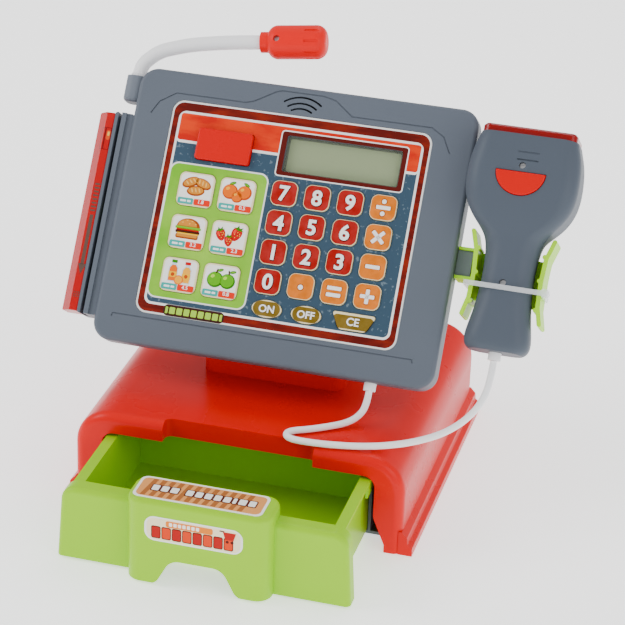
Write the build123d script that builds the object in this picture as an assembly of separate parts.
from build123d import *
import math
import os

# Toy cash register. Millimetres, +Z up, +X towards the scanner, +Y towards the back.
# Origin: centre of the base's underside, on the table. The drawer stands open at rest.

os.makedirs("parts", exist_ok=True)

# ---------------------------------------------------------------- driving dimensions

# base housing
FOOT_WIDTH = 211.4          # over the two foot ledges
BODY_WIDTH = 198.4          # over the side walls
BASE_DEPTH = 184.6
BASE_HEIGHT = 60.0
BASE_WALL = 2.6
SHOULDER_RADIUS = 22.0      # where the side walls roll into the top
FRAME_DEPTH = 14.0          # thick front frame round the drawer opening
FRAME_EDGE = 5.5            # rounding of the frame's outer edge
OPENING_WIDTH = 164.0
OPENING_HEIGHT = 48.4
RECESS_WIDTH = 90.0         # notch in the top's front edge, for the drawer's handle block
RECESS_DEPTH = 8.0
PLATE_THICKNESS = 2.0       # cover under the base
PLATE_LIFT = 1.9            # room for the screw heads under the cover
CENTRE_FOOT = 16.0          # round pad in the middle of the cover, level with the rim
SCREW_BOSS = 8.0            # outer diameter of every screw boss
SCREW_SHANK = 2.6
SCREW_HEAD = 5.6

# drawer
FRONT_WIDTH = 172.4
FRONT_TAPER = 3.0           # each side leans in by this at the top
FRONT_HEIGHT = 45.5
FRONT_THICKNESS = 10.0
FRONT_LIFT = 2.0            # underside of the drawer front above the table
DRAWER_OPEN = 54.0          # how far the drawer stands open at rest
DRAWER_WALL = 2.2
TRAY_WIDTH = 150.4
TRAY_DEPTH = 99.0
TRAY_TOP = 46.0
TRAY_FLOOR = 6.0
BLOCK_WIDTH = 84.0          # handle block in the middle of the drawer front
BLOCK_HEIGHT = 53.0
BLOCK_FRONT = 10.5          # stands in front of the drawer front by this
BLOCK_BACK = 7.5            # and behind it by this
RUN_GAP = 0.6               # running clearance of the drawer on its rails
RIM_GAP = 2.6               # between the tray's rim and the side of the opening
RIM_LIP = 1.3
RAIL_THICKNESS = 1.6

# stand between the base and the panel, with the battery bay in its back
STAND_WIDTH = 87.0
STAND_FRONT = -22.0
STAND_BACK = 62.0
STAND_WALL = 2.6
DOOR_SIZE = (58.0, 66.0)
DOOR_SCREW = (0, -DOOR_SIZE[1] / 2 + 3.6)
BAY_SIZE = (DOOR_SIZE[0] - 6, DOOR_SIZE[1] - 14)
BAY_DEPTH = 17.0

# panel
LEAN = 35.0                 # degrees back from vertical
PANEL_FOOT_Y = -53.6        # middle of the face's lower edge
PANEL_FOOT_Z = 88.0
PANEL_WIDTH = 207.2
PANEL_HEIGHT = 165.9
PANEL_CORNER = 11.0
FRONT_SHELL = 12.0          # depth of the front shell
REAR_SHELL = 10.0
REAR_INSET = 1.0
SHELL_WALL = 2.2
GROOVE_WIDTH = 0.8          # engraved lines above and below the film, u and v
GROOVE_DEPTH = 0.5
UPPER_GROOVE = [(-93, 138.3), (-88.8, 145.9), (-79.4, 152.1), (-36.2, 152.1), (-31.1, 153.8),
                (-19.6, 160.7), (-15.8, 162.0), (9.6, 162.0), (17.6, 160.2), (28.6, 152.1),
                (76.8, 152.1), (84.6, 147.5), (89.6, 138.2)]
LOWER_GROOVE = [(-93, 14.2), (-92.4, 16.2), (89.0, 16.2), (89.6, 14.2)]
FILM_LOW_U = -80.2          # printed film: lower left corner and size
FILM_LOW_V = 19.1
FILM_WIDTH = 158.8
FILM_HEIGHT = 129.6
FILM_CORNER = 7.0
FILM_RECESS = 1.2
FILM_THICKNESS = 0.6
LCD_CENTRE = (27.4, 125.3)
LCD_SIZE = (70.0, 22.0)
BUTTON_CENTRE = (-44.2, 123.8)
BUTTON_SIZE = (33.4, 18.8)
BUTTON_TRAVEL = 1.8
KEY_FIRST = (-3.2, 101.3)   # centre of the top left key
KEY_PITCH = (20.0, 17.66)
KEY_SIZE = (15.6, 15.0)
KEY_CORNER = 4.2
KEY_RISE = 1.0              # tops of the keys above the film
KEY_TRAVEL = 0.9
KEY_GAP = 0.35              # between a key and the edge of its hole
FLANGE = 0.9                # retaining rim round a key, behind the front wall
PICTURE_FIRST = (-56.6, 96.0)
PICTURE_PITCH = (25.3, 25.9)
PICTURE_SIZE = (21.8, 20.2)
PICTURE_CORNER = 3.6
FUNCTION_ROW = 32.4
OVAL_SIZE = (18.0, 10.4)
OVAL_CENTRES = (-0.8, 23.0)
CLEAR_KEY_CENTRE = 51.2
CLEAR_KEY_SIZE = (26.4, 10.2)

# card reader on the panel's left edge
READER_LOW = 13.3
READER_HIGH = 136.2
READER_DEPTH = 20.0
SLOT_LEFT = -PANEL_WIDTH / 2 - 9.3    # left wall of the card slot
SLOT_WIDTH = 2.2
SLOT_DEPTH = 13.0
FIN_OUTER = -PANEL_WIDTH / 2 - 22.8
FIN_INNER = -PANEL_WIDTH / 2 - 11.2

# microphone
MIC_TUBE = 8.6
MIC_PIVOT = (-PANEL_WIDTH / 2 - 5.2, -13.0)     # u and w of the socket's axis
MIC_SPIGOT = 5.4            # diameter of the tube's spigot in the socket
SPIGOT_GAP = 0.05           # its radial clearance
MIC_SOCKET_LOW = 145.0
MIC_SOCKET_HIGH = 161.0
MIC_HEAD_LENGTH = 40.5
MIC_HEAD_WIDTH = 20.4
MIC_SCREW_AT = 11.4         # along the head from the tube's end
MIC_SCREW_HEAD = 3.6
MIC_SCREW_SEAT = 5.2        # from the head's axis

# hand scanner and its holder
SCANNER_U = PANEL_WIDTH / 2 + 33.0
SCANNER_W = 4.0
SCANNER_WALL = 2.0
SCANNER_TOP = 151.6
SCANNER_SECTIONS = [        # up the grip: height, half width, half depth
    (27.2, 15.4, 9.2), (30.2, 18.4, 11.4), (35.8, 19.0, 12.2), (50.0, 16.6, 12.4), (66.0, 15.0, 12.2),
    (80.0, 15.1, 12.4), (91.6, 17.2, 13.0), (99.6, 22.6, 14.6), (108.6, 29.0, 16.4),
    (119.6, 32.2, 17.6), (131.6, 32.4, 17.8), (143.6, 30.6, 17.0), (SCANNER_TOP, 28.2, 15.6)]
WINDOW_HEIGHT = 4.5
TRIGGER_WIDTH = 28.6
TRIGGER_HEIGHT = 13.4
TRIGGER_TOP = 129.2
TRIGGER_TRAVEL = 1.8
SCANNER_SCREW_HEAD = 3.6
JAW_GAP = 2.2               # between the grip and the jaws
JAW_NUB = 1.3               # small ribs inside the jaws stand in by this
JAW_THICKNESS = 2.6
CLIP_LOW = 45.0
CLIP_HIGH = 95.5
TONGUE = (69.6, 84.4)       # lower and upper face of the grey tongue
TONGUE_REACH = 9.0

# cord
CORD = 4.0                  # diameter
GLAND_LENGTH = 4.6

# ---------------------------------------------------------------- frames and helpers

HALF_DEPTH = BASE_DEPTH / 2
PANEL_DEPTH = FRONT_SHELL + REAR_SHELL
lean = math.radians(LEAN)
PANEL = Plane(origin=(0, PANEL_FOOT_Y, PANEL_FOOT_Z), x_dir=(1, 0, 0),
              z_dir=(0, -math.cos(lean), math.sin(lean)))


def on_panel(shape):
    """Moves a shape made in panel coordinates (u right, v up the slope, w out of the face)."""
    return PANEL.location * shape


def slab(width, height, radius, low, high, at=(0, 0)):
    """Rounded rectangular plate between two levels of local z."""
    return Pos(at[0], at[1], low) * extrude(RectangleRounded(width, height, radius), high - low)


def block(low, high):
    """Box given by two opposite corners."""
    size = [abs(b - a) for a, b in zip(low, high)]
    middle = [(a + b) / 2 for a, b in zip(low, high)]
    return Pos(*middle) * Box(*size)


def rod(diameter, low, high, at=(0, 0)):
    """Cylinder along local z."""
    return Pos(at[0], at[1], (low + high) / 2) * Cylinder(diameter / 2, high - low)


def along_y(section, front, back):
    """Extrudes a section drawn in X and Z from one Y to another."""
    return Pos(0, back, 0) * extrude(Plane.XZ * section, back - front)


def along_v(section, low, high):
    """Extrudes a section drawn in u and w up the panel."""
    return Pos(0, high, 0) * extrude(Plane.XZ * section, high - low)


def area(*points):
    return make_face(Polyline(*points, close=True))


def rounded(sketch, radius, pick=None):
    """Rounds all corners of a sketch, or those that pick accepts."""
    corners = sketch.vertices() if pick is None else sketch.vertices().filter_by(pick)
    return fillet(corners, radius)


def screw(head_z, length, at=(0, 0), down=True, wide=SCREW_HEAD):
    """Pan-head screw along local z, its head on top of head_z and its shank below."""
    way = -1 if down else 1
    shank = rod(SCREW_SHANK, min(head_z, head_z + way * length), max(head_z, head_z + way * length), at)
    head = rod(wide, min(head_z, head_z - way * 1.8), max(head_z, head_z - way * 1.8), at)
    slot = block((at[0] - wide, at[1] - 0.4, head_z - way * 1.8 - 0.5),
                 (at[0] + wide, at[1] + 0.4, head_z - way * 1.8 + 0.5))
    return shank + head - slot


written = {}


def save(name, *shapes):
    """Writes one node from its solids."""
    solids = [solid for shape in shapes for solid in shape.solids()]
    written[name] = solids
    export_step(solids[0] if len(solids) == 1 else Compound(children=solids), f"parts/{name}.step")


# ---------------------------------------------------------------- base housing

def arch(half, height, radius):
    """Section of the base: two walls and a top with rolled shoulders."""
    section = area((-half, 0), (-half, height), (half, height), (half, 0))
    return rounded(section, radius, lambda corner: corner.Y > height / 2)


def opening_section():
    """Drawer opening in the front frame, flared at the feet."""
    half = OPENING_WIDTH / 2
    section = area((-half - 7, -1), (-half - 7, 5), (-half, 22), (-half, OPENING_HEIGHT),
                   (half, OPENING_HEIGHT), (half, 22), (half + 7, 5), (half + 7, -1))
    section = rounded(section, 7, lambda corner: corner.Y > OPENING_HEIGHT - 1)
    return rounded(section, 9, lambda corner: 20 < corner.Y < 24)


def base_boss_points():
    """Screw bosses for the cover, between the rails and the side walls."""
    x = BODY_WIDTH / 2 - BASE_WALL - SCREW_BOSS / 2 - 0.6
    return [(side * x, y) for side in (-1, 1) for y in (-HALF_DEPTH + 30, HALF_DEPTH - 16)]


def stand_boss_points():
    return [(side * (STAND_WIDTH / 2 - 12), y) for side in (-1, 1)
            for y in (STAND_FRONT + 12, STAND_BACK - 14)]


def base_shell():
    outer = along_y(arch(BODY_WIDTH / 2, BASE_HEIGHT, SHOULDER_RADIUS), -HALF_DEPTH, HALF_DEPTH)
    for end in (outer.faces().sort_by(Axis.Y)[0], outer.faces().sort_by(Axis.Y)[-1]):
        rim = end.edges().filter_by(lambda edge: edge.center().Z > 0.1)
        front = outer.edges().filter_by(lambda edge: any(edge.center() == r.center() for r in rim))
        outer = fillet(front, FRAME_EDGE)
    hollow = along_y(arch(BODY_WIDTH / 2 - BASE_WALL, BASE_HEIGHT - BASE_WALL, SHOULDER_RADIUS - BASE_WALL),
                     -HALF_DEPTH + FRAME_DEPTH, HALF_DEPTH - BASE_WALL)
    half = BODY_WIDTH / 2
    ledge = (FOOT_WIDTH - BODY_WIDTH) / 2
    for side in (-1, 1):
        step = area((side * (half - 2), 0), (side * (half - 2), 15), (side * half, 15),
                    (side * (half + ledge * 0.5), 11.5), (side * (half + ledge * 0.55), 7.5),
                    (side * (half + ledge), 5.0), (side * (half + ledge), 0))
        step = rounded(step, 1.2, lambda corner: abs(corner.X) > half + 1 and corner.Y > 1)
        outer += along_y(step, -HALF_DEPTH + 0.6, HALF_DEPTH - 0.6)
    shell = outer - hollow - along_y(opening_section(), -HALF_DEPTH - 1, -HALF_DEPTH + FRAME_DEPTH + 1)
    notch = slab(RECESS_WIDTH, 2 * RECESS_DEPTH, 4, OPENING_HEIGHT - 8, BASE_HEIGHT + 1, (0, -HALF_DEPTH))
    shell -= notch
    inner_top = BASE_HEIGHT - BASE_WALL
    for x, y in base_boss_points():
        shell += rod(SCREW_BOSS, PLATE_LIFT + PLATE_THICKNESS, inner_top - 10, (x, y))
        side = math.copysign(1, x)
        shell += block((side * (BODY_WIDTH / 2 - BASE_WALL - 4), y - 1, PLATE_LIFT + PLATE_THICKNESS),
                       (side * (BODY_WIDTH / 2 - 1), y + 1, inner_top - 22))
        shell -= rod(SCREW_SHANK, 0, 22, (x, y))
    for x, y in stand_boss_points():
        shell -= rod(SCREW_SHANK + 0.4, inner_top - 1, BASE_HEIGHT + 1, (x, y))
    return shell


def base_plate():
    """Cover under the base, with the two rails that carry the drawer."""
    half = BODY_WIDTH / 2 - BASE_WALL - 0.5
    front = -HALF_DEPTH + FRAME_DEPTH + 0.5
    back = HALF_DEPTH - BASE_WALL - 0.5
    plate = block((-half, front, PLATE_LIFT), (half, back, PLATE_LIFT + PLATE_THICKNESS))
    inner = TRAY_WIDTH / 2 + RUN_GAP
    for side in (-1, 1):
        low, high = sorted((side * inner, side * (inner + RAIL_THICKNESS)))
        plate += block((low, front, PLATE_LIFT), (high, 45, TRAY_TOP - 2.4 - RUN_GAP / 2))
    for y in (20, 40, 60):
        plate -= block((-40, y, 0), (40, y + 4, 10))
    plate += rod(CENTRE_FOOT, 0, PLATE_LIFT + 1)
    for x, y in base_boss_points():
        plate -= rod(SCREW_SHANK + 0.4, 0, 10, (x, y))
    return plate


def stand_section(inset):
    """Side view of the stand: upright front, slanted back, top parallel to the panel's back."""
    run = Vector(0, math.sin(lean), math.cos(lean))
    rear = PANEL.origin - PANEL.z_dir * PANEL_DEPTH
    low = (STAND_FRONT - rear.Y) / run.Y
    high = 114.0
    top = [rear + run * along - PANEL.z_dir * inset for along in (low, high)]
    return area((STAND_FRONT + inset, BASE_HEIGHT), (STAND_BACK - inset, BASE_HEIGHT),
                (top[1].Y - inset * 0.8, top[1].Z - inset), (STAND_FRONT + inset, top[0].Z + inset * 0.7))


def stand_solid(inset, radius):
    width = STAND_WIDTH - 2 * inset
    body = Pos(-width / 2, 0, 0) * extrude(Plane.YZ * stand_section(inset), width)
    steep = body.edges().filter_by(lambda edge: abs(edge.tangent_at(0.5).Z) > 0.8)
    return fillet(steep.filter_by(lambda edge: abs(edge.center().X) > 1), radius)


def rear_face_plane():
    """Plane on the stand's slanted back, halfway up, looking backwards."""
    section = stand_section(0)
    points = sorted(section.vertices(), key=lambda corner: -corner.X)
    foot = next(p for p in points if abs(p.Y - BASE_HEIGHT) < 0.1 and p.X > 0)
    head = max(points, key=lambda corner: corner.Y)
    middle = ((foot.X + head.X) / 2, (foot.Y + head.Y) / 2)
    normal = Vector(0, head.Y - foot.Y, foot.X - head.X)
    return Plane(origin=(0, middle[0], middle[1]), x_dir=(-1, 0, 0), z_dir=normal)


REAR = rear_face_plane()


def panel_boss_points():
    """Screws that hold the panel's rear shell to the stand, in panel coordinates."""
    return [(side * 30, v) for side in (-1, 1) for v in (46, 100)]


def panel_stand():
    stand = stand_solid(0, 8) - stand_solid(STAND_WALL, 5.4)
    bay = REAR.location * slab(DOOR_SIZE[0] + 4, DOOR_SIZE[1] + 4, 3, -BAY_DEPTH, 0)
    pocket = REAR.location * slab(BAY_SIZE[0], BAY_SIZE[1], 2, -BAY_DEPTH + 2, 1)
    seat = REAR.location * slab(DOOR_SIZE[0] + 0.4, DOOR_SIZE[1] + 0.4, 2.2, -2.2, 1)
    stand = stand + (bay & stand_solid(0, 8)) - pocket - seat
    stand -= REAR.location * rod(SCREW_SHANK, -8, 1, DOOR_SCREW)
    floor = stand_solid(0.3, 8) & block((-60, -60, BASE_HEIGHT), (60, 80, BASE_HEIGHT + STAND_WALL))
    stand += floor - rod(14, BASE_HEIGHT - 1, BASE_HEIGHT + 5, (0, (STAND_FRONT + STAND_BACK) / 2))
    for x, y in stand_boss_points():
        boss = rod(SCREW_BOSS, BASE_HEIGHT, BASE_HEIGHT + 14, (x, y)) & stand_solid(0.5, 8)
        stand = stand + boss - rod(SCREW_SHANK, BASE_HEIGHT - 1, BASE_HEIGHT + 12, (x, y))
    for u, v in panel_boss_points():
        boss = on_panel(rod(SCREW_BOSS, -PANEL_DEPTH - 12, -PANEL_DEPTH, (u, v))) & stand_solid(0.2, 8)
        stand = stand + boss - on_panel(rod(SCREW_SHANK, -PANEL_DEPTH - 10, -PANEL_DEPTH + 1, (u, v)))
    return stand


def battery_door():
    door = slab(DOOR_SIZE[0], DOOR_SIZE[1], 2, -2.0, 0)
    door -= rod(SCREW_SHANK + 0.4, -3, 1, DOOR_SCREW)
    for row in range(5):
        door -= slab(26, 1.6, 0.7, -0.6, 1, (0, 14 + row * 3.4))
    return REAR.location * door


def battery_contacts():
    """Spring and plate for each of three cells."""
    pieces = []
    for cell in (-16, 0, 16):
        for end in (-1, 1):
            edge = end * (BAY_SIZE[1] / 2 - 0.2)
            low, high = sorted((edge, edge - end * 0.5))
            pieces.append(block((cell - 5, low, -BAY_DEPTH + 3), (cell + 5, high, -4)))
        base = -(BAY_SIZE[1] / 2 - 0.7)
        coil = [Pos(cell, base + 1.0 + turn * 1.9, -9.5) * Rot(90, 0, 0) * Torus(3.4 - 0.5 * turn, 0.45)
                for turn in range(3)]
        pieces += coil
    return [REAR.location * piece for piece in pieces]


# ---------------------------------------------------------------- drawer

DRAWER_BACK_FACE = -HALF_DEPTH - DRAWER_OPEN - 0.4   # rear of the drawer front, as it stands open
FRONT_FACE = DRAWER_BACK_FACE - FRONT_THICKNESS
BLOCK_FACE = FRONT_FACE - BLOCK_FRONT


def front_plate(inset):
    half = FRONT_WIDTH / 2 - inset
    top = FRONT_LIFT + FRONT_HEIGHT - inset
    low = FRONT_LIFT if inset == 0 else FRONT_LIFT - 1
    section = area((-half, low), (-half + FRONT_TAPER, top), (half - FRONT_TAPER, top), (half, low))
    section = rounded(section, 9 - inset, lambda corner: corner.Y > 20)
    return along_y(section, FRONT_FACE + inset, DRAWER_BACK_FACE - inset)


def handle_block(inset):
    width = BLOCK_WIDTH - 2 * inset
    front = BLOCK_FACE + inset
    back = DRAWER_BACK_FACE + BLOCK_BACK - inset
    low = FRONT_LIFT if inset == 0 else FRONT_LIFT - 1
    high = FRONT_LIFT + BLOCK_HEIGHT - inset
    return slab(width, back - front, 9 - inset, low, high, (0, (front + back) / 2))


def finger_arch():
    """Arched cut under the handle block, with rolled feet."""
    section = area((-30, 0), (-23, FRONT_LIFT + 1), (-15, 18.5), (15, 18.5), (23, FRONT_LIFT + 1), (30, 0))
    section = rounded(section, 9, lambda corner: corner.Y > 10)
    section = rounded(section, 7, lambda corner: 0.5 < corner.Y < 10)
    return along_y(section, BLOCK_FACE - 5, FRONT_FACE + 1)


def drawer():
    plate = front_plate(0)
    face = plate.faces().sort_by(Axis.Y)[0]
    plate = fillet(face.edges().filter_by(lambda edge: edge.center().Z > FRONT_LIFT + 1), 3.2)
    knob = handle_block(0)
    knob = fillet(knob.faces().sort_by(Axis.Z)[-1].edges(), 3.0)
    knob -= finger_arch()
    half = TRAY_WIDTH / 2
    back = DRAWER_BACK_FACE + TRAY_DEPTH
    tray = block((-half, DRAWER_BACK_FACE - 1, TRAY_FLOOR - 2), (half, back, TRAY_TOP))
    room = block((-half + DRAWER_WALL, DRAWER_BACK_FACE, TRAY_FLOOR),
                 (half - DRAWER_WALL, back - DRAWER_WALL, 60))
    rim_half = OPENING_WIDTH / 2 - RIM_GAP
    for side in (-1, 1):
        low, high = sorted((side * (half - 1), side * rim_half))
        tray += block((low, DRAWER_BACK_FACE - 1, TRAY_TOP - 2.4), (high, back, TRAY_TOP))
        low, high = sorted((side * (rim_half - RIM_LIP), side * rim_half))
        tray += block((low, -HALF_DEPTH - 5, TRAY_TOP - 9), (high, back, TRAY_TOP))
    under_plate = front_plate(DRAWER_WALL) - handle_block(0)
    body = plate + (tray - room) - under_plate
    body = body + knob - handle_block(DRAWER_WALL + 0.3)
    arch_wall = finger_arch()
    return body - arch_wall


def drawer_labels():
    """Printed stickers on top of the handle block and on its face."""
    top = FRONT_LIFT + BLOCK_HEIGHT
    middle = (BLOCK_FACE + DRAWER_BACK_FACE + BLOCK_BACK) / 2
    upper = slab(75, 22.0, 4, top + 0.02, top + 0.25, (-1.5, middle))
    front = Plane(origin=(-1.5, BLOCK_FACE, 38.0), x_dir=(1, 0, 0), z_dir=(0, -1, 0))
    lower = front.location * slab(57, 15.5, 6, 0.02, 0.25)
    return upper, lower


# ---------------------------------------------------------------- panel

FILM_CENTRE = (FILM_LOW_U + FILM_WIDTH / 2, FILM_LOW_V + FILM_HEIGHT / 2)
FILM_FACE = -FILM_RECESS + FILM_THICKNESS          # top of the printed film
WEB_BACK = -FILM_RECESS - SHELL_WALL               # back of the front wall
KEY_FACE = FILM_FACE + KEY_RISE
KEY_FOOT = WEB_BACK - 2.0
MAT_FACE = KEY_FOOT - KEY_TRAVEL - 0.25
MAT_THICKNESS = 1.4
BOARD_FACE = MAT_FACE - MAT_THICKNESS - 0.1
BOARD_THICKNESS = 1.6

DIGITS = ["seven", "eight", "nine", "divide", "four", "five", "six", "times",
          "one", "two", "three", "minus", "zero", "point", "equals", "plus"]
PICTURES = ["bread", "oranges", "burger", "strawberries", "juice", "apples"]


def grid(names, first, pitch, columns):
    """Name and centre of each key in a grid, from the top left."""
    return [(name, (first[0] + (i % columns) * pitch[0], first[1] - (i // columns) * pitch[1]))
            for i, name in enumerate(names)]


def rounded_outline(size, radius, grow):
    return RectangleRounded(size[0] + 2 * grow, size[1] + 2 * grow, radius + max(grow, 0))


def oval_outline(grow):
    return Ellipse(OVAL_SIZE[0] / 2 + grow, OVAL_SIZE[1] / 2 + grow)


def clear_outline(grow):
    """Outline of the wide clearing key: flat top, narrow rounded foot."""
    half, tall = CLEAR_KEY_SIZE[0] / 2 + grow, CLEAR_KEY_SIZE[1] / 2 + grow
    sketch = area((-half, tall), (half, tall), (half - 5, -tall), (-half + 5, -tall))
    sketch = rounded(sketch, 3.6 + grow, lambda corner: corner.Y < 0)
    return rounded(sketch, 1.2 + grow / 2, lambda corner: corner.Y > 0)


def all_keys():
    """Every key: name, centre and a function that gives its outline grown by an amount."""
    keys = [(f"key_{name}", at, lambda grow: rounded_outline(KEY_SIZE, KEY_CORNER, grow))
            for name, at in grid(DIGITS, KEY_FIRST, KEY_PITCH, 4)]
    keys += [(f"picture_key_{name}", at, lambda grow: rounded_outline(PICTURE_SIZE, PICTURE_CORNER, grow))
             for name, at in grid(PICTURES, PICTURE_FIRST, PICTURE_PITCH, 2)]
    keys += [(f"key_{name}", (u, FUNCTION_ROW), oval_outline) for name, u in zip(("on", "off"), OVAL_CENTRES)]
    keys.append(("key_clear", (CLEAR_KEY_CENTRE, FUNCTION_ROW), clear_outline))
    return keys


def prism(sketch, low, high, at):
    return Pos(at[0], at[1], low) * extrude(sketch, high - low)


def key_solid(at, outline):
    """Key cap with a softened top edge and a retaining rim behind the front wall."""
    cap = prism(outline(0), KEY_FOOT, KEY_FACE, at)
    cap = fillet(cap.faces().sort_by(Axis.Z)[-1].edges(), 0.45)
    return cap + prism(outline(FLANGE), KEY_FOOT, WEB_BACK - 0.3, at)


def red_button():
    foot = BOARD_FACE + BUTTON_TRAVEL + 0.25
    cap = slab(BUTTON_SIZE[0], BUTTON_SIZE[1], 1.6, foot, FILM_FACE + 3.2, BUTTON_CENTRE)
    cap = fillet(cap.faces().sort_by(Axis.Z)[-1].edges(), 0.9)
    rim = slab(BUTTON_SIZE[0] + 2.4, BUTTON_SIZE[1] + 2.4, 2.4, WEB_BACK - 1.7, WEB_BACK - 0.3, BUTTON_CENTRE)
    recess = slab(BUTTON_SIZE[0] - 4, BUTTON_SIZE[1] - 4, 1.0, foot - 1, FILM_FACE + 1.2, BUTTON_CENTRE)
    return cap + rim - recess


def key_holes(low, high):
    """Everything that must be cut so that the keys, the button and the display show through."""
    cuts = [prism(outline(KEY_GAP), low, high, at) for _, at, outline in all_keys()]
    width, height = [side + 2 * KEY_GAP for side in BUTTON_SIZE]
    cuts.append(slab(width, height, 1.8, low, high, BUTTON_CENTRE))
    cuts.append(slab(LCD_SIZE[0], LCD_SIZE[1], 1.5, low, high, LCD_CENTRE))
    return cuts


def speaker_slots():
    """Three arched slots above the display."""
    centre = (-2.2, 140.6)
    slots = []
    for radius, half_angle in ((19.0, 36), (15.4, 34), (12.2, 30)):
        start = math.radians(90 - half_angle)
        end = math.radians(90 + half_angle)
        mid = math.radians(90)
        points = [(centre[0] + radius * math.cos(a), centre[1] + radius * math.sin(a))
                  for a in (start, mid, end)]
        path = ThreePointArc(*points)
        slots.append(Pos(0, 0, -4) * extrude(make_face(offset(path, 0.55).edges()), 6))
    return slots


PANEL_MIDDLE = (0, PANEL_HEIGHT / 2)


def case_boss_points():
    """Corner bosses that join the panel's two shells."""
    u = PANEL_WIDTH / 2 - 8.5
    return [(side * u, v) for side in (-1, 1) for v in (8.5, PANEL_HEIGHT - 9)]


def panel_front():
    shell = slab(PANEL_WIDTH, PANEL_HEIGHT, PANEL_CORNER, -FRONT_SHELL, 0, PANEL_MIDDLE)
    shell = fillet(shell.faces().sort_by(Axis.Z)[-1].edges(), 2.6)
    shell -= slab(PANEL_WIDTH - 2 * SHELL_WALL, PANEL_HEIGHT - 2 * SHELL_WALL, PANEL_CORNER - SHELL_WALL,
                  -FRONT_SHELL - 1, WEB_BACK, PANEL_MIDDLE)
    shell -= slab(FILM_WIDTH, FILM_HEIGHT, FILM_CORNER, -FILM_RECESS, 1, FILM_CENTRE)
    shell -= key_holes(-8, 2)
    shell -= speaker_slots()
    for line in (UPPER_GROOVE, LOWER_GROOVE):
        shell -= extrude(Pos(0, 0, -GROOVE_DEPTH) * trace(Polyline(*line), GROOVE_WIDTH), 2)
    for u, v in case_boss_points():
        shell += rod(SCREW_BOSS, -FRONT_SHELL, WEB_BACK, (u, v))
        shell -= rod(SCREW_SHANK, -FRONT_SHELL - 1, WEB_BACK - 1, (u, v))
    return on_panel(shell)


def mic_socket():
    """Socket boss at the rear shell's upper left edge, bored for the tube's spigot."""
    u, w = MIC_PIVOT
    boss = Pos(u, 0, w) * along_v(RectangleRounded(12.6, 13.6, 5), MIC_SOCKET_LOW, MIC_SOCKET_HIGH)
    boss = fillet(boss.faces().sort_by(Axis.Y)[0].edges(), 2.5)
    boss += block((u, MIC_SOCKET_LOW + 3, -PANEL_DEPTH + 4), (-PANEL_WIDTH / 2 + 2, MIC_SOCKET_HIGH - 6, w))
    hole = Circle(MIC_SPIGOT / 2 + SPIGOT_GAP)
    boss -= Pos(u, 0, w) * along_v(hole, MIC_SOCKET_HIGH - 11.4, MIC_SOCKET_HIGH + 1)
    return boss - block((-PANEL_WIDTH / 2 - 0.05, 0, -FRONT_SHELL - 0.02), (0, PANEL_HEIGHT, 1))


def panel_rear():
    width, height = PANEL_WIDTH - 2 * REAR_INSET, PANEL_HEIGHT - 2 * REAR_INSET
    shell = slab(width, height, PANEL_CORNER - REAR_INSET, -PANEL_DEPTH, -FRONT_SHELL, PANEL_MIDDLE)
    shell = fillet(shell.faces().sort_by(Axis.Z)[0].edges(), 3.0)
    shell -= slab(width - 2 * SHELL_WALL, height - 2 * SHELL_WALL, PANEL_CORNER - REAR_INSET - SHELL_WALL,
                  -PANEL_DEPTH + SHELL_WALL, -FRONT_SHELL + 1, PANEL_MIDDLE)
    for u, v in case_boss_points():
        shell += rod(SCREW_BOSS, -PANEL_DEPTH + 1, -FRONT_SHELL, (u, v))
        shell -= rod(SCREW_SHANK + 0.4, -PANEL_DEPTH - 1, -FRONT_SHELL + 1, (u, v))
        shell -= rod(SCREW_HEAD + 0.6, -PANEL_DEPTH - 1, -PANEL_DEPTH + 2.2, (u, v))
    for u, v in panel_boss_points():
        shell -= rod(SCREW_SHANK + 0.4, -PANEL_DEPTH - 1, -PANEL_DEPTH + SHELL_WALL + 1, (u, v))
    for row in range(4):
        shell -= slab(60, 1.8, 0.8, -PANEL_DEPTH - 1, -PANEL_DEPTH + SHELL_WALL + 1, (0, 132 + row * 5))
    side = PANEL_WIDTH / 2
    shell += block((side - REAR_INSET - 1, TONGUE[0], -19),
                   (side + TONGUE_REACH, TONGUE[1], -FRONT_SHELL - 0.4))
    shell += block((side + 0.2, TONGUE[0], -19), (side + TONGUE_REACH, TONGUE[1], -6))
    return on_panel(shell + mic_socket())


def printed_film():
    film = slab(FILM_WIDTH - 0.4, FILM_HEIGHT - 0.4, FILM_CORNER - 0.2, -FILM_RECESS, FILM_FACE, FILM_CENTRE)
    return on_panel(film - key_holes(-8, 2))


def lcd_window():
    return on_panel(slab(LCD_SIZE[0] + 5, LCD_SIZE[1] + 5, 1.5, WEB_BACK - 1.2, WEB_BACK, LCD_CENTRE))


def lcd_module():
    low = MAT_FACE - MAT_THICKNESS - 0.3
    return on_panel(slab(LCD_SIZE[0] + 4, LCD_SIZE[1] + 3, 0.8, low, WEB_BACK - 1.4, LCD_CENTRE))


def key_mat():
    """Rubber sheet with a dome under every key."""
    mat = block((-70, 24, MAT_FACE - MAT_THICKNESS), (67, 110, MAT_FACE - 0.6))
    for _, at, _ in all_keys():
        mat += rod(6.5, MAT_FACE - 0.7, MAT_FACE, at)
    return on_panel(mat)


def circuit_board():
    top = BOARD_FACE
    board = block((-76, 22, top - BOARD_THICKNESS), (72, 111, top))
    board += block((-76, 110, top - BOARD_THICKNESS), (-20, 136, top))
    chip = block((10, 60, top - BOARD_THICKNESS - 1.6), (22, 72, top - BOARD_THICKNESS))
    can = rod(5, top - BOARD_THICKNESS - 5, top - BOARD_THICKNESS, (-30, 50))
    return on_panel(board + chip + can)


def speaker():
    cone = rod(23, WEB_BACK - 4.4, WEB_BACK - 0.4, (-2.2, 151.4))
    magnet = rod(11, WEB_BACK - 8, WEB_BACK - 4, (-2.2, 151.4))
    return on_panel(cone + magnet)


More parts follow.
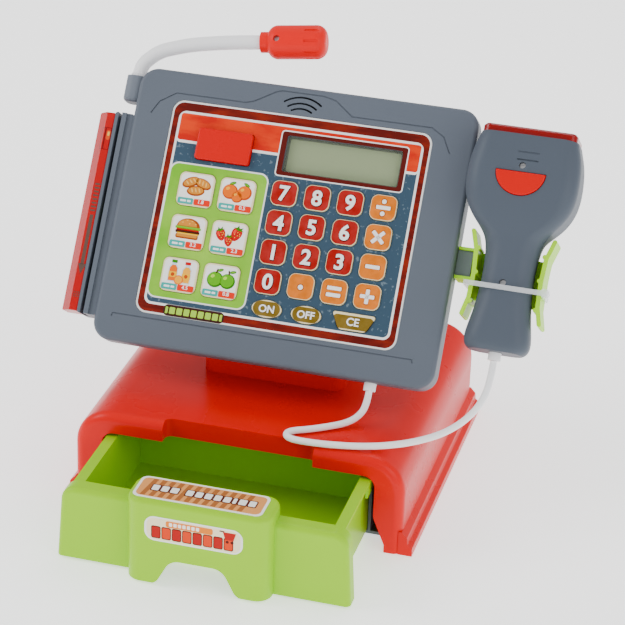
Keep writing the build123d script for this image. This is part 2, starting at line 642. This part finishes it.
def case_screws():
    """All screws of the fixed casings, one kind."""
    screws = [screw(PLATE_LIFT, 12, at, down=False) for at in base_boss_points()]
    screws += [screw(BASE_HEIGHT - BASE_WALL, 12, at, down=False) for at in stand_boss_points()]
    screws += [on_panel(screw(-PANEL_DEPTH + SHELL_WALL, 10, at)) for at in panel_boss_points()]
    screws += [on_panel(screw(-PANEL_DEPTH + 2.2, 14, at, down=False)) for at in case_boss_points()]
    screws.append(REAR.location * screw(0, 7, DOOR_SCREW))
    return screws


# ---------------------------------------------------------------- card reader

def reader_frame():
    """Grey rail with the card slot, open at the front and at both ends."""
    right = -PANEL_WIDTH / 2 - 0.02
    left = FIN_INNER
    rail = slab(right - left, READER_HIGH - READER_LOW, 1.4, -READER_DEPTH, -0.8,
                ((right + left) / 2, (READER_LOW + READER_HIGH) / 2))
    back = block((FIN_OUTER + 3, READER_LOW + 3, -READER_DEPTH),
                 (left + 2, READER_HIGH - 3, -READER_DEPTH + 2.4))
    slot = block((SLOT_LEFT, READER_LOW - 2, -SLOT_DEPTH), (SLOT_LEFT + SLOT_WIDTH, READER_HIGH + 2, 2))
    bevel = block((right - 4.2, READER_LOW - 2, -2.4), (right + 1, READER_HIGH + 2, 2))
    socket = block((SLOT_LEFT + SLOT_WIDTH - 1, 68.4, -9.6), (SLOT_LEFT + SLOT_WIDTH + 3.2, 80.4, -3.4))
    return on_panel(rail + back - slot - bevel - socket)


def reader_lens():
    """Hollow red cover along the reader's outer side, rounded at its outer front edge."""
    width = FIN_INNER - 0.02 - FIN_OUTER
    middle = FIN_OUTER + width / 2
    span = READER_HIGH - READER_LOW - 1.6
    centre = (middle, (READER_LOW + READER_HIGH) / 2)
    cover = slab(width, span, 0.9, -READER_DEPTH + 2.42, -1.2, centre)
    outer = cover.edges().filter_by(lambda edge: edge.center().X < FIN_OUTER + 0.1 and edge.center().Z > -1.4)
    cover = fillet(outer, 0.8)
    corner = area((FIN_OUTER - 1, -9.5), (FIN_OUTER - 1, 1), (FIN_OUTER + 6.5, 1), (FIN_OUTER + 6.5, -1.2))
    cover -= along_v(corner, READER_LOW - 2, READER_HIGH + 2)
    hollow = block((FIN_OUTER + 6.5, READER_LOW + 4, -READER_DEPTH + 1),
                   (FIN_INNER - 1.6, READER_HIGH - 4, -3))
    return on_panel(cover - hollow)


def card_switch():
    """Small lever in the slot's inner wall, pushed aside by a card."""
    body = Pos(SLOT_LEFT + SLOT_WIDTH + 0.6, 74.4, -6.5) * Box(3.0, 11.2, 5.4)
    deep = body.edges().filter_by(lambda edge: abs(edge.tangent_at(0.5).Z) > 0.9)
    nose = deep.filter_by(lambda edge: edge.center().X < SLOT_LEFT + SLOT_WIDTH)
    return on_panel(fillet(nose, 0.9))


# ---------------------------------------------------------------- microphone

def mic_route():
    """Centre line of the white tube, in the plane behind the panel's front shell."""
    u = MIC_PIVOT[0]
    return [(u, MIC_SOCKET_HIGH + 0.4), (u + 0.8, 169.8), (u + 9.6, 178.8), (u + 27.6, 185.2),
            (u + 50.0, 189.6), (u + 71.0, 192.4)]


def mic_axis():
    """Start point and direction of the microphone head."""
    (u0, v0), (u1, v1) = mic_route()[-2:]
    turn = math.atan2(v1 - v0, u1 - u0)
    return Plane(origin=(u1, v1, MIC_PIVOT[1]), x_dir=(-math.sin(turn), math.cos(turn), 0),
                 z_dir=(math.cos(turn), math.sin(turn), 0))


def mic_stalk():
    route = [(u, v, MIC_PIVOT[1]) for u, v in mic_route()]
    path = FilletPolyline(*route, radius=cord_radii(route))
    tube = sweep(Plane(origin=path @ 0, z_dir=path % 0) * Circle(MIC_TUBE / 2), path)
    u, w = MIC_PIVOT
    spigot = Pos(u, 0, w) * along_v(Circle(MIC_SPIGOT / 2), MIC_SOCKET_HIGH - 11, MIC_SOCKET_HIGH + 1)
    collar = Pos(u, 0, w) * along_v(Circle(MIC_TUBE / 2 + 0.5), MIC_SOCKET_HIGH + 0.25, MIC_SOCKET_HIGH + 2.0)
    return on_panel(tube + spigot + collar)


def mic_head_solid(inset):
    """Rounded capsule on the tube's end, with its neck."""
    radius = MIC_HEAD_WIDTH / 2 - inset
    start, end = 4.5 + inset, MIC_HEAD_LENGTH - inset
    profile = area((0, start), (radius, start), (radius, end), (0, end))
    profile = rounded(profile, radius * 0.62, lambda corner: corner.X > 1)
    return revolve(Plane.XZ * profile, Axis.Z)


def mic_head_halves():
    axis = mic_axis()
    neck = rod(12.6, 0.3, 6.5) - rod(MIC_TUBE + 0.04, -1, 3.0)
    head = mic_head_solid(0) + neck - mic_head_solid(1.8) - rod(MIC_TUBE + 0.04, -1, 3.0)
    for turn in range(9):
        groove = Pos(MIC_HEAD_WIDTH / 2 + 0.2, 0, MIC_HEAD_LENGTH - 7) * Box(1.8, 1.5, 11)
        groove = Rot(0, 0, turn * 40 + 20) * groove
        head -= groove
    boss = Pos(0, 0, MIC_SCREW_AT) * Rot(90, 0, 0) * Cylinder(2.9, MIC_HEAD_WIDTH)
    head += boss & mic_head_solid(0.4)
    head -= Pos(0, 0, MIC_SCREW_AT) * Rot(-90, 0, 0) * mic_screw_hole()
    seam = 0.02
    halves = []
    for side in (1, -1):
        low, high = sorted((side * seam, side * 30))
        halves.append(head & block((-30, low, -5), (30, high, 60)))
    return [on_panel(axis.location * half) for half in halves]


def mic_screw_hole():
    """Blind hole and counterbore, open towards +Z."""
    return rod(SCREW_SHANK, -4, 12) + rod(MIC_SCREW_HEAD + 0.3, MIC_SCREW_SEAT, 14)


def mic_screw():
    turned = Pos(0, 0, MIC_SCREW_AT) * Rot(-90, 0, 0) * screw(MIC_SCREW_SEAT, 8, wide=MIC_SCREW_HEAD)
    return on_panel(mic_axis().location * turned)


# ---------------------------------------------------------------- hand scanner

def scanner_solid(inset):
    """Body of the scanner, lofted up the grip and over the head."""
    rings = []
    for height, half, deep in SCANNER_SECTIONS:
        level = min(max(height, SCANNER_SECTIONS[0][0] + inset), SCANNER_TOP - (1.0 if inset else 0))
        corner = (deep - inset) * (0.9 if height < 96 else 0.55)
        plane = Plane(origin=(SCANNER_U, level, SCANNER_W), x_dir=(1, 0, 0), z_dir=(0, 1, 0))
        rings.append(plane * RectangleRounded(2 * (half - inset), 2 * (deep - inset), corner))
    return loft(rings)


def grip_half_width(height):
    """Half width of the grip at a height, straight between the sections."""
    for (low, a, _), (high, b, _) in zip(SCANNER_SECTIONS, SCANNER_SECTIONS[1:]):
        if low <= height <= high:
            return a + (b - a) * (height - low) / (high - low)
    return SCANNER_SECTIONS[0][1]


def trigger_outline(grow):
    """Half-moon, flat side up."""
    half, height = TRIGGER_WIDTH / 2 + grow, TRIGGER_HEIGHT + grow
    return Ellipse(half, height) & (Pos(0, -height) * Rectangle(3 * half, 2 * (height + grow)))


def half_depth_at(height):
    for (low, _, a), (high, _, b) in zip(SCANNER_SECTIONS, SCANNER_SECTIONS[1:]):
        if low <= height <= high:
            return a + (b - a) * (height - low) / (high - low)
    return SCANNER_SECTIONS[0][2]


SCANNER_SEAM = SCANNER_W - 3.0
SCANNER_FACE = SCANNER_W + 17.8
TRIGGER_AT = (SCANNER_U - 0.6, TRIGGER_TOP)


def scanner_boss_points():
    return [(SCANNER_U - 1, 66.0), (SCANNER_U - 0.5, TRIGGER_TOP + 4.0)]


def scanner_halves():
    shell = scanner_solid(0) - scanner_solid(SCANNER_WALL)
    shell -= block((SCANNER_U - 25.6, SCANNER_TOP - 3, SCANNER_W - 13),
                   (SCANNER_U + 25.6, SCANNER_TOP + 3, SCANNER_W + 12.6))
    for at in scanner_boss_points():
        deep = half_depth_at(at[1])
        shell += rod(SCANNER_SCREW_HEAD + 1.6, SCANNER_W - deep + 0.6, SCANNER_W + deep - 0.6, at)
        shell -= rod(SCREW_SHANK, SCANNER_SEAM - 6, SCANNER_W + deep, at)
        shell -= rod(SCANNER_SCREW_HEAD + 0.3, SCANNER_W + deep - 4.2, SCANNER_W + deep + 2, at)
    shell -= Pos(SCANNER_U, 0, SCANNER_W) * along_v(Circle(CORD / 2 + 0.9), 22, 33)
    shell -= [slab(12.4, 0.9, 0.4, SCANNER_FACE - 0.9, SCANNER_FACE + 3,
                   (SCANNER_U + 2, TRIGGER_TOP + 7.2 + row * 4.6)) for row in range(3)]
    shell -= prism(trigger_outline(KEY_GAP), SCANNER_W, SCANNER_FACE + 4, TRIGGER_AT)
    wide = 60
    front = shell & block((SCANNER_U - wide, 0, SCANNER_SEAM + 0.02), (SCANNER_U + wide, 200, 60))
    rear = shell & block((SCANNER_U - wide, 0, -80), (SCANNER_U + wide, 200, SCANNER_SEAM - 0.02))
    return on_panel(front), on_panel(rear)


def scanner_trigger():
    cap = prism(trigger_outline(0), SCANNER_FACE - 5, SCANNER_FACE + 0.9, TRIGGER_AT)
    cap = fillet(cap.faces().sort_by(Axis.Z)[-1].edges(), 0.7)
    rim = prism(trigger_outline(1.2), SCANNER_FACE - 5, SCANNER_FACE - 3.6, TRIGGER_AT)
    return on_panel(cap + rim)


def scanner_window():
    pane = slab(54.6, 28, 4.5, SCANNER_TOP + 0.02, SCANNER_TOP + WINDOW_HEIGHT)
    pane = chamfer(pane.faces().sort_by(Axis.Z)[-1].edges(), 1.2)
    upright = Plane(origin=(SCANNER_U, 0, SCANNER_W), x_dir=(1, 0, 0), z_dir=(0, 1, 0))
    return on_panel(upright.location * pane)


def scanner_board():
    low = SCANNER_W - 6
    board = block((SCANNER_U - 18, 98, low), (SCANNER_U + 18, TRIGGER_TOP, low + 1.4))
    lamp = Pos(SCANNER_U, 0, SCANNER_W) * along_v(Circle(2.5), SCANNER_TOP - 8, SCANNER_TOP - 3)
    switch = block((SCANNER_U - 3, TRIGGER_TOP - 8, low + 1.4),
                   (SCANNER_U + 3, TRIGGER_TOP - 2, SCANNER_FACE - 5 - TRIGGER_TRAVEL - 0.3))
    return on_panel(board + switch), on_panel(lamp)


def scanner_screws():
    return [on_panel(screw(SCANNER_W + half_depth_at(at[1]) - 4.2,
                           SCANNER_W + half_depth_at(at[1]) - SCANNER_SEAM, at,
                           wide=SCANNER_SCREW_HEAD)) for at in scanner_boss_points()]


def scanner_gland():
    foot = SCANNER_SECTIONS[0][0]
    gland = along_v(Circle(CORD / 2 + 0.6), foot - 1, foot + 4)
    skirt = along_v(Circle(CORD / 2 + 1.7), foot - GLAND_LENGTH, foot - 0.1)
    return on_panel(Pos(SCANNER_U, 0, SCANNER_W) * (gland + skirt))


def panel_gland():
    sleeve = along_v(Circle(CORD / 2 + 1.6), -GLAND_LENGTH, -0.02)
    return on_panel(Pos(66.0, 0, -9.0) * sleeve)


def retaining_strap():
    """Clear loop round grip and holder, open at the back, with its lock at the right."""
    width = 2.8
    low = 61.6
    left, right = SCANNER_U - 22.9, SCANNER_U + 22.9
    front = SCANNER_W + 12.4 + 0.3
    band = block((left, low, front), (right, low + width, front + 1.1))
    band += block((left, low, -9), (left + 1.1, low + width, front + 1.1))
    band += block((right - 1.1, low, -9), (right, low + width, front + 1.1))
    lock = slab(5.0, 4.6, 1.8, front - 1.4, front + 2.6, (right + 1.2, low + width / 2))
    return on_panel(band + lock)


# ---------------------------------------------------------------- holder

def holder_clip():
    """Green spring clip: two flared jaws with ribs, a back and a channel over the grey tongue."""
    front, back = SCANNER_W + 5.0, SCANNER_W - 12.4 - 1.6
    levels = (CLIP_LOW, 56.0, 70.0, 84.0, CLIP_HIGH)
    flare = (3.2, 0.5, 0.0, 0.8, 4.4)
    waist = max(grip_half_width(v) for v in levels[1:4]) + JAW_GAP
    inner = [(waist + extra, v) for v, extra in zip(levels, flare)]
    outer = [(u + JAW_THICKNESS, v) for u, v in reversed(inner)]
    jaw = Pos(SCANNER_U, 0, back) * extrude(rounded(area(*inner, *outer), 1.1), front - back)
    for (u, v), rise in zip(inner[1:4], (-2, 1, 1)):
        jaw += rod(2 * JAW_NUB, back + 4, front, (SCANNER_U + u + 0.2, v + rise))
    clip = jaw + mirror(jaw, about=Plane.YZ.offset(SCANNER_U))
    reach = waist + JAW_THICKNESS
    clip += block((SCANNER_U - reach, 57, back - 2.2), (SCANNER_U + reach, 85, back + 0.2))
    arm_right = SCANNER_U - reach + 0.8
    arm_left = PANEL_WIDTH / 2 + 0.4
    for low, high in ((TONGUE[0] - 1.9, TONGUE[0] - 0.2), (TONGUE[1] + 0.2, TONGUE[1] + 1.9)):
        clip += block((arm_left, low, -21), (arm_right, high, -4.4))
    clip += block((arm_left, TONGUE[0] - 1.9, -21), (arm_right, TONGUE[1] + 1.9, -19.2))
    clip += block((arm_right - 2.4, TONGUE[0] - 1.9, -21), (arm_right, TONGUE[1] + 1.9, -4.4))
    return on_panel(clip)


# ---------------------------------------------------------------- cord

def cord_radii(points):
    """Arc radius at each inner point: 0.45 of the shorter run over the tangent of half the turn."""
    corners = [Vector(*point) for point in points]
    radii = []
    for a, b, c in zip(corners, corners[1:], corners[2:]):
        half_turn = math.radians((b - a).get_angle(c - b)) / 2
        radii.append(0.45 * min((b - a).length, (c - b).length) / math.tan(half_turn))
    return radii


CORD_ROUTE = [
    (66.0, -48.878, 79.053), (66.0, -52.893, 73.319), (63.6, -56.6, 67.2), (57.2, -61.4, 63.2),
    (47.5, -68.0, 62.4), (37.6, -74.6, 62.3), (27.8, -79.6, 62.3), (26.4, -84.6, 62.3), (30.4, -88.5, 62.3),
    (39.5, -89.0, 62.3), (53.5, -88.2, 62.5), (72.5, -85.0, 63.0), (89.5, -79.4, 64.2), (103.5, -72.4, 66.0),
    (116.4, -66.6, 70.6), (127.0, -61.6, 78.6), (134.0, -56.9, 88.4), (136.6, -50.97, 98.73),
    (136.6, -44.09, 108.56)]


def scanner_cord():
    """Free lead from the panel's gland over the base top to the scanner's gland."""
    radii = cord_radii(CORD_ROUTE)
    path = FilletPolyline(*CORD_ROUTE, radius=radii)
    tube = sweep(Plane(origin=path @ 0, z_dir=path % 0) * Circle(CORD / 2), path)
    print("cord radii", [round(r, 1) for r in radii])
    print("cord length", round(path.length, 1), "volume share",
          round(tube.volume / (path.length * math.pi * CORD ** 2 / 4), 4))
    return tube


# ---------------------------------------------------------------- write every node

save("base_shell", base_shell())
save("base_plate", base_plate())
save("panel_stand", panel_stand())
save("battery_door", battery_door())
save("battery_contacts", *battery_contacts())
save("drawer", drawer())
save("drawer_labels", *drawer_labels())
save("panel_front", panel_front())
save("panel_rear", panel_rear())
save("printed_film", printed_film())
save("lcd_window", lcd_window())
save("lcd_module", lcd_module())
save("key_mat", key_mat())
save("circuit_board", circuit_board())
save("speaker", speaker())
save("case_screws", *case_screws())
save("red_button", on_panel(red_button()))
for key_name, key_at, key_outline in all_keys():
    save(key_name, on_panel(key_solid(key_at, key_outline)))
save("card_reader_frame", reader_frame())
save("card_reader_lens", reader_lens())
save("card_switch", card_switch())
save("mic_stalk", mic_stalk())
for half_name, half in zip(("mic_head_front", "mic_head_rear"), mic_head_halves()):
    save(half_name, half)
save("mic_screw", mic_screw())
for half_name, half in zip(("scanner_front", "scanner_rear"), scanner_halves()):
    save(half_name, half)
save("scanner_trigger", scanner_trigger())
save("scanner_window", scanner_window())
save("scanner_board", *scanner_board())
save("scanner_screws", *scanner_screws())
save("scanner_gland", scanner_gland())
save("panel_gland", panel_gland())
save("holder_clip", holder_clip())
save("retaining_strap", retaining_strap())
save("scanner_cord", scanner_cord())
print(len(written), "nodes")
